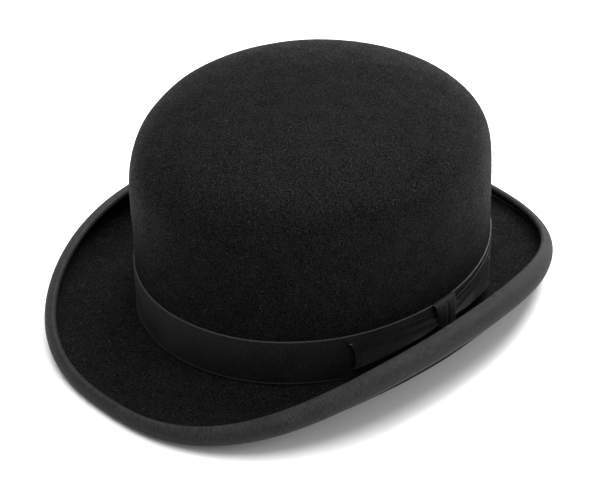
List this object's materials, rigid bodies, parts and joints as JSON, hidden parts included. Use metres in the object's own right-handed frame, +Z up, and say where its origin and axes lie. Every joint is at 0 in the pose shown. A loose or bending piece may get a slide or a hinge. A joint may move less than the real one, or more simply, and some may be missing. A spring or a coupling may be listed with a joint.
{
  "type": "bowler hat",
  "caption": "Stiff felt bowler hat with a rounded crown, curled ribbon-bound brim, hat band with a flat side bow, and a lined inside with a leather sweatband.",
  "frame": {"origin": "centre of the hat's box, on the surface that the hat rests on", "axes": "+Z up, the front of the hat faces -Y, and the bow is on +X, the wearer's left"},
  "size_m": [0.2302, 0.2932, 0.127],
  "materials": {
    "felt": "matt fur felt",
    "grosgrain": "ribbed ribbon with a soft sheen",
    "thread": "matt",
    "leather": "satin",
    "reed": "matt",
    "tape": "matt",
    "satin": "satin sheen",
    "label": "matt"
  },
  "bodies": {
    "root": {"felt_body": "felt", "brim_binding": "grosgrain", "binding_thread": "thread", "hat_band": "grosgrain", "bow_ribbon": "grosgrain", "bow_knot": "grosgrain", "bow_tack_front": "thread", "bow_tack_rear": "thread", "sweatband": "leather", "sweatband_reed": "reed", "reed_tape": "tape", "sweatband_thread": "thread", "sweatband_joint_tape": "tape", "sweatband_bow": "grosgrain", "lining_side": "satin", "lining_tip": "satin", "size_label": "label"}
  },
  "joints": []
}
